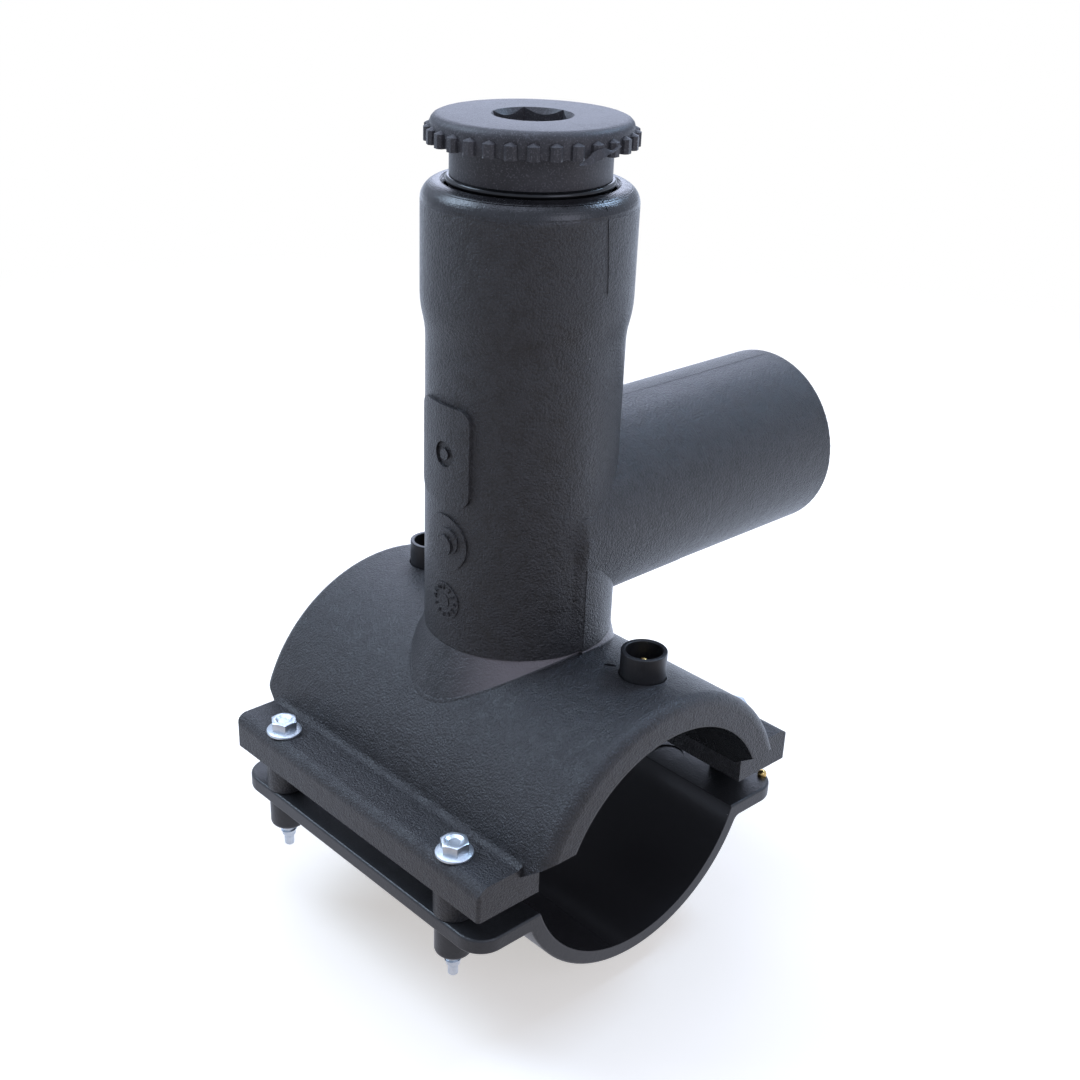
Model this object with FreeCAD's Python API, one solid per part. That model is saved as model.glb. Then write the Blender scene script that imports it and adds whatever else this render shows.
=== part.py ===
# Electrofusion tapping saddle: a welded branch for a polyethylene main, with its own pipe cutter.
# A moulded half shell with tower, outlet and side flanges sits on the main, an underclamp and four
# screws pull it down, and a screwed cap closes the tower over the cutter.
# Millimetres. The origin is on the main pipe's axis below the tower, +X runs out of the outlet,
# Y along the main pipe, +Z up the tower.

import FreeCAD, Part
import math
import os

# Pipes
main_pipe_d = 90.0
outlet_d = 63.0
outlet_wall = 5.8

# Half shell
shell_wall = 10.7
shell_length = 145.0
shell_end_round = 4.0
shell_lip_z = 13.0
shell_flange_fillet = 3.0
nose_rise = 7.0

# Side flanges of the shell, with the spacers that hang below them
flange_length = 126.8
flange_width = 14.8
flange_bottom_z = 3.9
flange_thickness = 11.9
flange_relief = 1.3
flange_round = 4.0
flange_corner = 1.2
spacer_r = 6.5
spacer_gap = 0.3

# Tower
tower_r = 30.4
tower_head_r = 32.1
tower_head_length = 32.5
tower_taper = 14.0
tower_edge_round = 5.5
tower_seam_step = 0.9
pedestal_rise = 0.8
pedestal_root_depth = 15.75
pedestal_step = 0.3
pedestal_flare = 0.54
pedestal_outlet_flare = 0.25

# Outlet
outlet_over_shell = 36.9
outlet_end_x = 120.9
outlet_spigot_length = 63.1
outlet_end_round = 0.8
outlet_neck_step = 0.15
outlet_neck_taper = 0.5
outlet_root_draft = 0.45
throat_r = 17.0
throat_taper = 12.0

# Bores inside the tower
guide_r = 20.0
guide_below_top = 33.0
cap_bore_r = 23.6
cap_bore_length = 18.0
seal_bore_r = 25.1
mouth_chamfer = 1.3

# Raised plate, gate disc with its crescent and button, and date dial on the tower's blind side
plate_y = 2.45
plate_over_outlet = 28.9
plate_width = 23.5
plate_height = 31.0
plate_corner = 4.0
plate_raise = 1.0
dimple_y = 0.65
dimple_over_outlet = 29.0
dimple_r = 4.0
dimple_depth = 0.75
dimple_button_r = 1.8
disc_y = 0.9
disc_under_outlet = 0.3
disc_r = 9.3
disc_raise = 0.5
crescent_y = -1.0
crescent_over_outlet = 0.8
crescent_r = 4.4
crescent_raise = 1.0
button_y = 0.1
button_under_outlet = 0.7
button_r = 3.35
button_raise = 1.6
dial_y = 0.8
dial_under_outlet = 20.5
dial_r = 6.25
dial_raise = 0.3
mark_root_depth = 5.8

# Screw cap
cap_open = 11.0
cap_rim_height = 7.5
cap_rim_r = 29.8
cap_rim_draft = 0.8
cap_rim_round = 1.4
cap_tooth_count = 30
cap_tooth_width = 3.5
cap_tooth_height = 3.5
cap_tooth_tip = 1.0
cap_tooth_reach = 1.3
cap_tooth_root = 1.0
cap_neck_r = 23.8
cap_plug_length = 32.0
cap_plug_chamfer = 1.0
cap_hollow_r = 19.0
cap_socket_depth = 11.5
cap_floor = 3.5
cap_ring_below_rim = 10.6
key_across_flats = 20.8

# Seal rings
cap_ring_section_r = 1.1
cutter_ring_section_r = 1.4
ring_seat = 0.05
ring_sides = 12

# Cutter
cutter_length = 44.0
cutter_above_outlet = 1.7
cutter_headroom = 14.0
cutter_crown_r = 17.5
cutter_crown_length = 16.0
cutter_crown_wall = 2.5
cutter_core_depth = 26.0
cutter_socket_depth = 12.0
cutter_ring_below_top = 4.4
cutter_tooth_count = 8
cutter_tooth_gap = 6.0
cutter_tooth_depth = 4.0
cutter_tooth_lead = 1.0
cutter_chamfer = 1.0
running_clearance = 0.05

# Underclamp
clamp_inset = 0.4
clamp_gap = 9.5
clamp_relief = 1.9
clamp_wall = 4.95
clamp_flange_drop = 14.65
clamp_flange_thickness = 5.5
clamp_corner = 9.0
clamp_edge_round = 0.9
clamp_crease_fillet = 2.5
clamp_boss_r = 6.0
clamp_boss_length = 9.8
clamp_boss_round = 1.6
ejector_mark_in = 17.1
ejector_mark_y = 26.0
ejector_mark_r = 5.25
ejector_mark_depth = 0.4

# Clamp screws
screw_from_edge = 6.8
screw_from_end = 18.9
screw_r = 2.75
screw_hole_clearance = 0.45
screw_end_below_boss = 5.0
screw_point_r = 1.65
screw_point_length = 4.3
screw_point_cone = 0.8
screw_disc_r = 5.95
screw_disc_edge = 0.8
screw_disc_rise = 0.7
screw_hex_flats = 8.0
screw_head_height = 4.7
screw_hex_chamfer = 0.6
screw_dish_r = 2.9
screw_dish_depth = 0.7

# Terminals
terminal_x = 6.1
terminal_from_end = 20.5
shroud_height = 14.1
shroud_r = 7.3
shroud_wall = 1.5
shroud_floor = 2.0
shroud_seat = 5.0
shroud_gap = 0.35
pin_r = 2.35
pin_stem_r = 2.0
pin_below_rim = 4.6
pin_chamfer = 0.6
pin_collar_r = 3.4
pin_collar_height = 1.5
fit_gap = 0.05

# Heating wire, a doubled spiral flush in the bore
wire_width = 0.9
wire_depth = 0.9
wire_pitch = 5.0
wire_start_r = 25.0
wire_turns = 3

# Melt indicators
indicator_x = 2.0
indicator_from_end = 30.6
indicator_length = 4.3
indicator_width = 1.6
indicator_turn = 55.0
indicator_floor = 2.2
indicator_recess = 0.6

# Brass stud in the underclamp's flange
stud_from_edge = 2.8
stud_from_end = 5.7
stud_head_r = 1.6
stud_shank_r = 0.9
stud_shank_length = 3.0

# Sizes that follow from the ones above
main_r = main_pipe_d / 2
shell_r = main_r + shell_wall
flange_reach = shell_r + flange_width
pedestal_top_z = shell_r + pedestal_rise
shell_end_y = shell_length / 2
flange_end_y = flange_length / 2
flange_top_z = flange_bottom_z + flange_thickness
flange_inner_x = main_r + flange_relief
screw_x = flange_reach - screw_from_edge
screw_y = flange_end_y - screw_from_end
terminal_y = shell_end_y - terminal_from_end
indicator_y = shell_end_y - indicator_from_end
outlet_z = shell_r + outlet_over_shell
outlet_r = outlet_d / 2
outlet_bore_r = outlet_r - outlet_wall
cutter_bottom_z = outlet_z + outlet_bore_r + cutter_above_outlet
cutter_top_z = cutter_bottom_z + cutter_length
tower_top_z = cutter_top_z + cutter_headroom + cap_plug_length - cap_open
guide_top_z = tower_top_z - guide_below_top
outlet_neck_x = outlet_end_x - outlet_end_round - outlet_spigot_length
outlet_side_r = tower_r + tower_seam_step
plate_z = outlet_z + plate_over_outlet
dimple_z = outlet_z + dimple_over_outlet
disc_z = outlet_z - disc_under_outlet
crescent_z = outlet_z + crescent_over_outlet
button_z = outlet_z - button_under_outlet
dial_z = outlet_z - dial_under_outlet
seal_bore_bottom_z = guide_top_z + cap_bore_length
cap_rim_bottom_z = tower_top_z + cap_open
cap_top_z = cap_rim_bottom_z + cap_rim_height
cap_plug_bottom_z = cap_rim_bottom_z - cap_plug_length
cap_ring_z = cap_rim_bottom_z - cap_ring_below_rim
cap_ring_r = seal_bore_r - 2 * running_clearance - cap_ring_section_r
cap_plug_r = cap_bore_r - 2 * running_clearance
cutter_r = guide_r - running_clearance
cutter_ring_z = cutter_top_z - cutter_ring_below_top
cutter_ring_r = cutter_r - cutter_ring_section_r
clamp_flange_top_z = flange_bottom_z - clamp_gap
clamp_flange_bottom_z = clamp_flange_top_z - clamp_flange_thickness
clamp_boss_bottom_z = clamp_flange_bottom_z - clamp_boss_length
clamp_axis_z = clamp_flange_top_z + clamp_flange_drop
clamp_inner_r = main_r + clamp_relief
clamp_outer_r = clamp_inner_r + clamp_wall
clamp_reach = flange_reach - clamp_inset
clamp_end_y = flange_end_y - clamp_inset
stud_x = clamp_reach - stud_from_edge
stud_y = stud_from_end - clamp_end_y
ejector_mark_x = clamp_reach - ejector_mark_in
shroud_bottom_z = main_r + shroud_seat
shroud_top_z = shroud_bottom_z + shroud_height
shroud_floor_z = shroud_bottom_z + shroud_floor
wire_seat_r = main_r + wire_depth
screw_places = [
    ("front_left", -screw_x, -screw_y),
    ("front_right", screw_x, -screw_y),
    ("rear_left", -screw_x, screw_y),
    ("rear_right", screw_x, screw_y),
]
ends = [("front", -1), ("rear", 1)]
margin = 5.0

vec = FreeCAD.Vector
axis_x = vec(1, 0, 0)
axis_y = vec(0, 1, 0)
axis_z = vec(0, 0, 1)


def box(x0, x1, y0, y1, z0, z1):
    return Part.makeBox(x1 - x0, y1 - y0, z1 - z0, vec(x0, y0, z0))


def upright(r, z0, z1, x=0.0, y=0.0):
    """A round post or hole along Z."""
    return Part.makeCylinder(r, z1 - z0, vec(x, y, z0), axis_z)


def along_pipe(r, z=0.0):
    """A cylinder along the main pipe, longer than the saddle."""
    half = shell_end_y + margin
    return Part.makeCylinder(r, 2 * half, vec(0, -half, z), axis_y)


def bend(centre, r, start, end):
    """A round corner in an outline: its middle and its end, by angles in degrees."""
    def at(angle):
        turn = math.radians(angle)
        return (centre[0] + r * math.cos(turn), centre[1] + r * math.sin(turn))
    return (at((start + end) / 2), at(end))


def face(place, *steps):
    """A flat face from points and bends. place turns a pair of numbers into a point in space."""
    edges = []
    here = steps[0]
    for step in steps[1:] + (steps[0],):
        if isinstance(step[0], tuple):
            middle, there = step
            edges.append(Part.Arc(place(*here), place(*middle), place(*there)).toShape())
        else:
            there = step
            if math.dist(here, there) < 1e-7:
                continue
            edges.append(Part.makeLine(place(*here), place(*there)))
        here = there
    return Part.Face(Part.Wire(edges))


def turned(*steps):
    """A solid of revolution round Z, from an outline of radius and height."""
    return face(lambda r, z: vec(r, 0, z), *steps).revolve(vec(0, 0, 0), axis_z, 360)


def hexagon(flats, z0, z1):
    corner = flats / math.sqrt(3)
    points = [(corner * math.cos(math.radians(60 * i)), corner * math.sin(math.radians(60 * i)))
              for i in range(6)]
    return face(lambda x, y: vec(x, y, z0), *points).extrude(vec(0, 0, z1 - z0))


def rounded_block(width, height, corner, place, depth):
    """A block with four rounded corners, drawn round the origin of place and pushed along depth."""
    w, h = width / 2 - corner, height / 2 - corner
    outline = face(
        place,
        (w, -h - corner), bend((w, -h), corner, -90, 0),
        (w + corner, h), bend((w, h), corner, 0, 90),
        (-w, h + corner), bend((-w, h), corner, 90, 180),
        (-w - corner, -h), bend((-w, -h), corner, 180, 270),
    )
    return outline.extrude(depth)


def o_ring(ring_r, section_r, z):
    """A seal ring with a many-sided section."""
    turns = [2 * math.pi * (i + 0.5) / ring_sides for i in range(ring_sides)]
    corners = [(ring_r + section_r * math.cos(t), z + section_r * math.sin(t)) for t in turns]
    return turned(*corners)


def ring_groove(ring_r, section_r, outer_r, z):
    """The groove that an O-ring sits in, cut from outer_r inwards."""
    half = section_r + ring_seat
    floor_r = ring_r - section_r - ring_seat
    return upright(outer_r, z - half, z + half).cut(upright(floor_r, z - half, z + half))


def half_shell():
    """The arched shell: rounded at its outer ends, open below, with noses that slant up."""
    inner = main_r - margin
    y = shell_end_y
    corner = shell_end_round
    section = face(
        lambda r, along: vec(r, along, 0),
        (inner, -y), (shell_r - corner, -y), bend((shell_r - corner, -y + corner), corner, -90, 0),
        (shell_r, y - corner), bend((shell_r - corner, y - corner), corner, 0, 90), (inner, y),
    )
    shell = section.revolve(vec(0, 0, 0), axis_y, 360)
    reach = shell_r + margin
    below = face(
        lambda along, z: vec(-reach, along, z),
        (-y - margin, -reach), (y + margin, -reach),
        (y + margin, shell_lip_z + nose_rise * (y + margin - flange_end_y) / (y - flange_end_y)),
        (flange_end_y, shell_lip_z), (-flange_end_y, shell_lip_z),
        (-y - margin, shell_lip_z + nose_rise * (y + margin - flange_end_y) / (y - flange_end_y)),
    )
    return shell.cut(below.extrude(vec(2 * reach, 0, 0)))


def side_flange(side):
    """One flange with a rounded outer edge and two spacers round its screw holes."""
    x = flange_reach
    z = flange_top_z
    section = face(
        lambda across, up: vec(side * across, -flange_end_y, up),
        (flange_inner_x, flange_bottom_z), (x, flange_bottom_z), (x, z - flange_round),
        bend((x - flange_round, z - flange_round), flange_round, 0, 90), (flange_inner_x, z),
    )
    flange = section.extrude(vec(0, 2 * flange_end_y, 0))
    flange = flange.common(rounded_block(2 * x, 2 * flange_end_y, flange_corner,
                                         lambda u, v: vec(u, v, flange_bottom_z),
                                         vec(0, 0, flange_thickness)))
    spacer_bottom = clamp_flange_top_z + spacer_gap
    for y in (-screw_y, screw_y):
        flange = flange.fuse(upright(spacer_r, spacer_bottom, flange_bottom_z + margin, side * screw_x, y))
    return flange


def pedestal(top_r, flare, side):
    """Half of the cone that spreads the tower's foot over the shell."""
    bottom_z = main_r - pedestal_root_depth
    height = pedestal_top_z - bottom_z
    cone = Part.makeCone(top_r + flare * height, top_r, height, vec(0, 0, bottom_z), axis_z)
    reach = top_r + flare * height + margin
    x0, x1 = sorted((0.0, side * reach))
    return cone.common(box(x0, x1, -reach, reach, bottom_z, pedestal_top_z))


def tower():
    head_z = tower_top_z - tower_head_length
    edge = tower_edge_round
    swell = tower_head_r - tower_r
    sweep_r = (tower_taper * tower_taper / 4 + swell * swell / 4) / swell
    sweep = 2 * math.degrees(math.atan(swell / tower_taper))
    post = turned(
        (0, pedestal_top_z), (tower_r, pedestal_top_z), (tower_r, head_z - tower_taper),
        bend((tower_r + sweep_r, head_z - tower_taper), sweep_r, 180, 180 - sweep),
        bend((tower_head_r - sweep_r, head_z), sweep_r, -sweep, 0), (tower_head_r, tower_top_z - edge),
        bend((tower_head_r - edge, tower_top_z - edge), edge, 0, 90), (0, tower_top_z),
    )
    blind_foot = pedestal(tower_r - pedestal_step, pedestal_flare, -1)
    outlet_foot = pedestal(outlet_side_r, pedestal_outlet_flare, 1)
    outlet_side = upright(outlet_side_r, pedestal_top_z, outlet_z)
    outlet_side = outlet_side.common(box(0, tower_r + margin, -tower_r - margin, tower_r + margin,
                                         pedestal_top_z, outlet_z))
    return post.fuse([blind_foot, outlet_foot, outlet_side])


def tower_bores():
    """Everything the tower is hollowed by: cutter guide, cap thread, seal bore and mouth."""
    mouth_r = seal_bore_r + mouth_chamfer
    return turned(
        (0, 0), (guide_r, 0), (guide_r, guide_top_z), (cap_bore_r, guide_top_z),
        (cap_bore_r, seal_bore_bottom_z), (seal_bore_r, seal_bore_bottom_z),
        (seal_bore_r, tower_top_z - mouth_chamfer), (mouth_r, tower_top_z),
        (mouth_r, tower_top_z + margin), (0, tower_top_z + margin),
    )


def outlet():
    """The outlet: a drafted root a hair wider than the spigot, and a softly rounded end."""
    neck_r = outlet_r + outlet_neck_step
    edge = outlet_end_round
    x = outlet_end_x
    section = face(
        lambda along, r: vec(along, 0, outlet_z + r),
        (0, 0), (0, neck_r + outlet_root_draft), (outlet_neck_x - outlet_neck_taper, neck_r),
        (outlet_neck_x, outlet_r),
        (x - edge, outlet_r), bend((x - edge, outlet_r - edge), edge, 90, 0), (x, 0),
    )
    return section.revolve(vec(0, 0, outlet_z), axis_x, 360)


def outlet_bores():
    """The outlet's bore and the taper down to the throat that opens into the cutter guide."""
    throat_end_x = tower_r
    taper_end_x = throat_end_x + throat_taper
    throat = Part.makeCylinder(throat_r, throat_end_x, vec(0, 0, outlet_z), axis_x)
    taper = Part.makeCone(throat_r, outlet_bore_r, throat_taper, vec(throat_end_x, 0, outlet_z), axis_x)
    bore = Part.makeCylinder(outlet_bore_r, outlet_end_x + margin - taper_end_x,
                             vec(taper_end_x, 0, outlet_z), axis_x)
    return throat.fuse([taper, bore])


def raised_marks():
    """The bare plate, the gate disc with its button, and the date dial, each a little proud."""
    def on_tower(y, z, width, height, corner, proud):
        start = -tower_r + mark_root_depth
        block = rounded_block(width, height, corner, lambda u, v: vec(start, y + u, z + v),
                              vec(-tower_r, 0, 0))
        return block.common(upright(tower_r + proud, z - height, z + height))

    def round_on_tower(y, z, r, proud):
        start = -tower_r + mark_root_depth
        post = Part.makeCylinder(r, tower_r, vec(start, y, z), vec(-1, 0, 0))
        return post.common(upright(tower_r + proud, z - 2 * r, z + 2 * r))

    plate = on_tower(plate_y, plate_z, plate_width, plate_height, plate_corner, plate_raise)
    dimple_floor = plate_raise - dimple_depth
    dimple = round_on_tower(dimple_y, dimple_z, dimple_r, plate_raise + margin)
    dimple = dimple.cut(round_on_tower(dimple_y, dimple_z, dimple_r + margin, dimple_floor))
    dimple = dimple.cut(round_on_tower(dimple_y, dimple_z, dimple_button_r, plate_raise + margin))
    plate = plate.cut(dimple)
    disc = round_on_tower(disc_y, disc_z, disc_r, disc_raise)
    crescent = round_on_tower(crescent_y, crescent_z, crescent_r, crescent_raise)
    button = round_on_tower(button_y, button_z, button_r, button_raise)
    dial = round_on_tower(dial_y, dial_z, dial_r, dial_raise)
    return [plate, disc, crescent, button, dial]


def wire_spiral(width):
    """The doubled spiral seen from above, as one strip of half circles with a hairpin inside."""
    q = wire_pitch
    n = wire_turns if wire_turns % 2 else wire_turns + 1
    radii = [wire_start_r + i * q for i in range(n + 1)]
    lead_in = math.degrees(math.acos(terminal_x / radii[n - 1]))
    lead_out = math.degrees(math.acos(terminal_x / radii[n]))
    path = []
    for i in range(n - 1, -1, -2):
        start = -lead_in if i == n - 1 else -90
        path.append((0, radii[i], start, 90))
        if i:
            path.append((q, radii[i - 1], 90, 270))
    path.append((radii[0] + q / 2, q / 2, 270, 90))
    for i in range(1, n, 2):
        path.append((0, radii[i], 90, -90))
        path.append((q, radii[i + 1], 270, 90))
    path.append((0, radii[n], 90, lead_out))

    def side(offset):
        edges = []
        for centre_y, r, start, end in path:
            r_here = r - offset if end > start else r + offset
            middle, there = bend((0, centre_y), r_here, start, end)
            here = bend((0, centre_y), r_here, start, start)[1]
            edges.append(Part.Arc(vec(*here, 0), vec(*middle, 0), vec(*there, 0)).toShape())
        return edges

    left = side(width / 2)
    right = side(-width / 2)
    caps = [Part.makeLine(left[0].firstVertex().Point, right[0].firstVertex().Point),
            Part.makeLine(left[-1].lastVertex().Point, right[-1].lastVertex().Point)]
    strip = Part.Face(Part.Wire(Part.__sortEdges__(left + right + caps)))
    height = shell_r
    spiral = strip.extrude(vec(0, 0, height))
    for inner, way in ((radii[n - 1], -1), (radii[n], 1)):
        near = math.sqrt(inner * inner - terminal_x * terminal_x) - wire_width / 2
        y0, y1 = sorted((way * near, way * (terminal_y + pin_stem_r)))
        spiral = spiral.fuse(box(terminal_x - width / 2, terminal_x + width / 2, y0, y1, 0, height))
    return spiral


def wire_layer(width):
    """The spiral wrapped onto the bore: what lies between the bore and the depth of its groove."""
    layer = along_pipe(wire_seat_r).cut(along_pipe(main_r))
    return wire_spiral(width).common(layer)


def pin_seat(r, top_z, way):
    """A post at a terminal that stands on the heating wire's layer."""
    post = upright(r, 0, top_z, terminal_x, way * terminal_y)
    return post.cut(along_pipe(wire_seat_r))


def indicator(length, width, bottom_z, top_z, way):
    """An eye-shaped post at one melt indicator."""
    half = length / 2
    eye = Part.Face(Part.Wire([
        Part.Arc(vec(-half, 0, 0), vec(0, width / 2, 0), vec(half, 0, 0)).toShape(),
        Part.Arc(vec(half, 0, 0), vec(0, -width / 2, 0), vec(-half, 0, 0)).toShape(),
    ]))
    post = eye.extrude(vec(0, 0, top_z - bottom_z))
    post.rotate(vec(0, 0, 0), axis_z, way * indicator_turn)
    post.translate(vec(indicator_x, way * indicator_y, bottom_z))
    return post


def saddle_body():
    """The whole moulding: shell, flanges, tower and outlet, then every hole in it."""
    body = half_shell().fuse([side_flange(-1), side_flange(1)]).removeSplitter()
    creases = [edge for edge in body.Edges if edge.BoundBox.YLength > flange_end_y
               and edge.BoundBox.ZLength < fit_gap and abs(edge.CenterOfMass.z - flange_top_z) < fit_gap
               and edge.CenterOfMass.x ** 2 + flange_top_z ** 2 < (shell_r + fit_gap) ** 2]
    body = body.makeFillet(shell_flange_fillet, creases)
    body = body.fuse([tower(), outlet()] + raised_marks())
    cuts = [along_pipe(main_r), tower_bores(), outlet_bores(), wire_layer(wire_width + 2 * fit_gap)]
    for name, x, y in screw_places:
        cuts.append(upright(screw_r + screw_hole_clearance, clamp_flange_bottom_z,
                            flange_top_z + margin, x, y))
    for end, way in ends:
        y = way * terminal_y
        cuts.append(upright(shroud_r + shroud_gap, shroud_bottom_z, shroud_top_z, terminal_x, y))
        cuts.append(upright(pin_collar_r + fit_gap, shroud_bottom_z - pin_collar_height,
                            shroud_bottom_z, terminal_x, y))
        cuts.append(pin_seat(pin_stem_r + fit_gap, shroud_bottom_z, way))
        cuts.append(indicator(indicator_length + 2 * fit_gap, indicator_width + 2 * fit_gap,
                              main_r + indicator_floor, shell_r + margin, way))
    return body.cut(cuts)


def underclamp():
    """The lower half: a thin arch with flat flanges, corners rounded, and a boss under each screw."""
    y = clamp_end_y
    arch = Part.makeCylinder(clamp_outer_r, 2 * y, vec(0, -y, clamp_axis_z), axis_y)
    arch = arch.common(box(-clamp_outer_r, clamp_outer_r, -y, y,
                           clamp_axis_z - clamp_outer_r, clamp_flange_top_z))
    plate = rounded_block(2 * clamp_reach, 2 * y, clamp_corner,
                          lambda u, v: vec(u, v, clamp_flange_bottom_z),
                          vec(0, 0, clamp_flange_thickness))
    clamp = arch.fuse(plate).cut(along_pipe(clamp_inner_r, clamp_axis_z)).removeSplitter()
    creases = [edge for edge in clamp.Edges if edge.BoundBox.YLength > y
               and abs(edge.CenterOfMass.z - clamp_flange_bottom_z) < fit_gap
               and abs(edge.CenterOfMass.x) < clamp_reach - clamp_corner]
    clamp = clamp.makeFillet(clamp_crease_fillet, creases)
    rims = [edge for edge in clamp.Edges if edge.BoundBox.ZLength < fit_gap
            and (abs(edge.CenterOfMass.z - clamp_flange_top_z) < fit_gap
                 or abs(edge.CenterOfMass.z - clamp_flange_bottom_z) < fit_gap)
            and (abs(edge.CenterOfMass.x) > clamp_outer_r + clamp_crease_fillet
                 or abs(edge.CenterOfMass.y) > y - fit_gap)]
    clamp = clamp.makeFillet(clamp_edge_round, rims)
    corner = clamp_boss_round
    boss = turned(
        (0, clamp_boss_bottom_z), (clamp_boss_r - corner, clamp_boss_bottom_z),
        bend((clamp_boss_r - corner, clamp_boss_bottom_z + corner), corner, -90, 0),
        (clamp_boss_r, clamp_flange_bottom_z + clamp_flange_thickness / 2),
        (0, clamp_flange_bottom_z + clamp_flange_thickness / 2),
    )
    clamp = clamp.fuse([boss.translated(vec(x, y, 0)) for name, x, y in screw_places])
    cuts = []
    for name, x, y in screw_places:
        cuts.append(upright(screw_r + running_clearance, clamp_boss_bottom_z - margin,
                            clamp_flange_top_z + margin, x, y))
    for x in (-ejector_mark_x, ejector_mark_x):
        for y in (-ejector_mark_y, ejector_mark_y):
            cuts.append(upright(ejector_mark_r, clamp_flange_top_z - ejector_mark_depth,
                                clamp_flange_top_z + margin, x, y))
    cuts.append(upright(stud_shank_r + fit_gap, clamp_flange_top_z - stud_shank_length,
                        clamp_flange_top_z + margin, stud_x, stud_y))
    return clamp.cut(cuts)


def brass_stud():
    """A small round-headed stud that sits on the underclamp's flange."""
    flat_z = clamp_flange_top_z
    return turned(
        (0, flat_z - stud_shank_length), (stud_shank_r, flat_z - stud_shank_length),
        (stud_shank_r, flat_z), (stud_head_r, flat_z), (stud_head_r, flat_z + stud_head_r / 2),
        bend((0, flat_z + stud_head_r / 2), stud_head_r, 0, 90),
    ).translated(vec(stud_x, stud_y, 0))


def clamp_screw():
    """Hexagon flange screw with a dished head, a thread-forming shank and a plain dog point."""
    seat = flange_top_z
    shank_end = clamp_boss_bottom_z - screw_end_below_boss
    rise = screw_disc_edge + screw_disc_rise
    hex_r = screw_hex_flats / 2
    stem = turned(
        (0, shank_end - screw_point_length), (screw_point_r, shank_end - screw_point_length),
        (screw_point_r, shank_end - screw_point_cone), (screw_r, shank_end), (screw_r, seat),
        (screw_disc_r, seat), (screw_disc_r, seat + screw_disc_edge), (hex_r, seat + rise),
        (0, seat + rise),
    )
    top = seat + screw_head_height
    head = hexagon(screw_hex_flats, seat + screw_disc_edge, top)
    lift = screw_hex_chamfer * 2
    head = head.common(turned(
        (0, seat), (hex_r + lift + screw_head_height, seat), (hex_r, top), (0, top),
    ).common(upright(screw_disc_r, seat, top)))
    dish = turned(
        (0, top - screw_dish_depth), (screw_dish_r - screw_dish_depth, top - screw_dish_depth),
        (screw_dish_r, top), (screw_dish_r, top + margin), (0, top + margin),
    )
    return stem.fuse(head).cut(dish)


def cap_tooth():
    """One grip tooth with a hipped top, standing off the rim."""
    half = cap_tooth_width / 2
    low = cap_rim_bottom_z
    high = low + cap_tooth_height
    root = cap_rim_r - cap_rim_draft - cap_tooth_root
    outline = face(
        lambda across, up: vec(root, across, up),
        (-half, low), (half, low), (half, high), (0, high + cap_tooth_tip), (-half, high),
    )
    return outline.extrude(vec(cap_rim_r + cap_tooth_reach - root, 0, 0))


def screw_cap():
    """The cap: toothed rim, plain neck, ring groove and plug, hollow below, hexagon socket above."""
    low = cap_rim_bottom_z
    top = cap_top_z
    top_r = cap_rim_r - cap_rim_draft
    edge = cap_rim_round
    neck_end_z = cap_ring_z - cap_ring_section_r - 2 * ring_seat
    hollow_z = top - cap_socket_depth - cap_floor
    cap = turned(
        (0, cap_plug_bottom_z), (cap_plug_r - cap_plug_chamfer, cap_plug_bottom_z),
        (cap_plug_r, cap_plug_bottom_z + cap_plug_chamfer), (cap_plug_r, neck_end_z),
        (cap_neck_r, neck_end_z),
        (cap_neck_r, low), (cap_rim_r, low), (top_r, top - edge),
        bend((top_r - edge, top - edge), edge, 0, 90), (0, top),
    )
    tooth = cap_tooth()
    teeth = []
    for i in range(cap_tooth_count):
        one = tooth.copy()
        one.rotate(vec(0, 0, 0), axis_z, 360.0 * i / cap_tooth_count)
        teeth.append(one)
    cap = cap.fuse(teeth)
    return cap.cut([
        upright(cap_hollow_r, cap_plug_bottom_z - margin, hollow_z),
        hexagon(key_across_flats, top - cap_socket_depth, top + margin),
        ring_groove(cap_ring_r, cap_ring_section_r, seal_bore_r, cap_ring_z),
    ])


def cutter():
    """The cutter: threaded barrel with a hexagon socket, and a toothed crown that keeps the cut disc."""
    bottom = cutter_bottom_z
    top = cutter_top_z
    crown_top = bottom + cutter_crown_length
    core_r = cutter_crown_r - cutter_crown_wall
    body = turned(
        (0, bottom), (cutter_crown_r, bottom), (cutter_crown_r, crown_top),
        (cutter_r - cutter_chamfer, crown_top), (cutter_r, crown_top + cutter_chamfer),
        (cutter_r, top - cutter_chamfer), (cutter_r - cutter_chamfer, top),
        (0, top),
    )
    half = cutter_tooth_gap / 2
    gap = face(
        lambda across, up: vec(core_r - margin, across, bottom + up),
        (-half, -cutter_tooth_lead), (half, -cutter_tooth_lead), (half, cutter_tooth_depth),
    ).extrude(vec(cutter_crown_wall + 2 * margin, 0, 0))
    cuts = [
        upright(core_r, bottom - margin, bottom + cutter_core_depth),
        hexagon(key_across_flats, top - cutter_socket_depth, top + margin),
        ring_groove(cutter_ring_r, cutter_ring_section_r, guide_r + margin, cutter_ring_z),
    ]
    for i in range(cutter_tooth_count):
        one = gap.copy()
        one.rotate(vec(0, 0, 0), axis_z, 360.0 * i / cutter_tooth_count)
        cuts.append(one)
    return body.cut(cuts)


def terminal_shroud(way):
    """A thin cup round a terminal pin, set in its pocket in the shell."""
    y = way * terminal_y
    cup = upright(shroud_r, shroud_bottom_z, shroud_top_z, terminal_x, y)
    inside = upright(shroud_r - shroud_wall, shroud_floor_z, shroud_top_z + margin, terminal_x, y)
    hole = upright(pin_r + fit_gap, shroud_bottom_z - margin, shroud_top_z, terminal_x, y)
    return cup.cut([inside, hole])


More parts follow.
